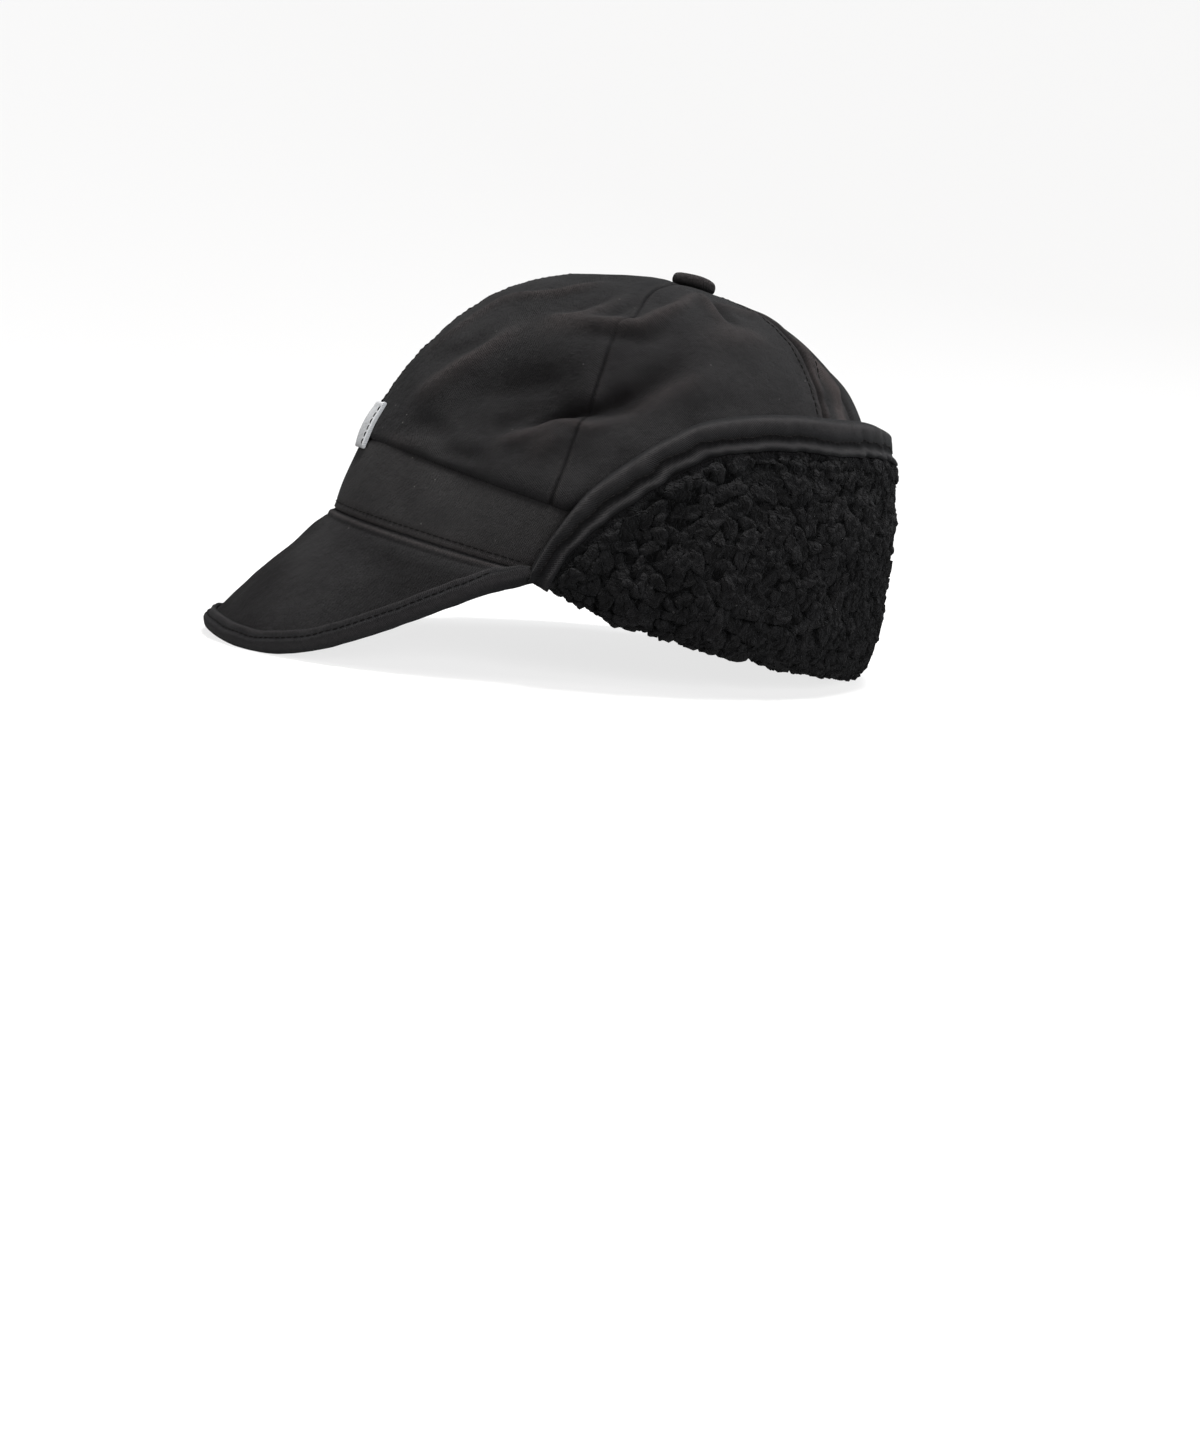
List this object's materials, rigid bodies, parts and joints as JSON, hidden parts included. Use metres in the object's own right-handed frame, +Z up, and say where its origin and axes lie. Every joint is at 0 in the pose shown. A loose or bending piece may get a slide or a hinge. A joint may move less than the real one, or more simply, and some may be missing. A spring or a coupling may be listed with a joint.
{
  "type": "earflap cap",
  "caption": "Soft gored work cap with a short curved peak, a headband, a top button and a curly fleece earflap folded up round the back and sides, worn on the head for warmth.",
  "frame": {"origin": "on the surface that the cap rests on, under the middle of its box", "axes": "+Z up, -Y toward the peak, +Y toward the nape, +X toward the wearer's left"},
  "size_m": [0.187, 0.2484, 0.1398],
  "materials": {
    "twill": "matt cotton twill, near black, softly worn",
    "tape": "folded cloth tape, near black",
    "fleece": "tight curly pile, near black",
    "label": "plain light grey cloth, blank"
  },
  "bodies": {
    "root": {"crown_panel_front_left": "twill", "crown_panel_side_left": "twill", "crown_panel_back_left": "twill", "crown_panel_front_right": "twill", "crown_panel_side_right": "twill", "crown_panel_back_right": "twill", "band": "twill", "peak": "twill", "peak_binding": "tape", "earflap_shell": "twill", "earflap_fleece": "fleece", "earflap_binding": "tape", "top_button": "twill", "front_label": "label"}
  },
  "joints": []
}
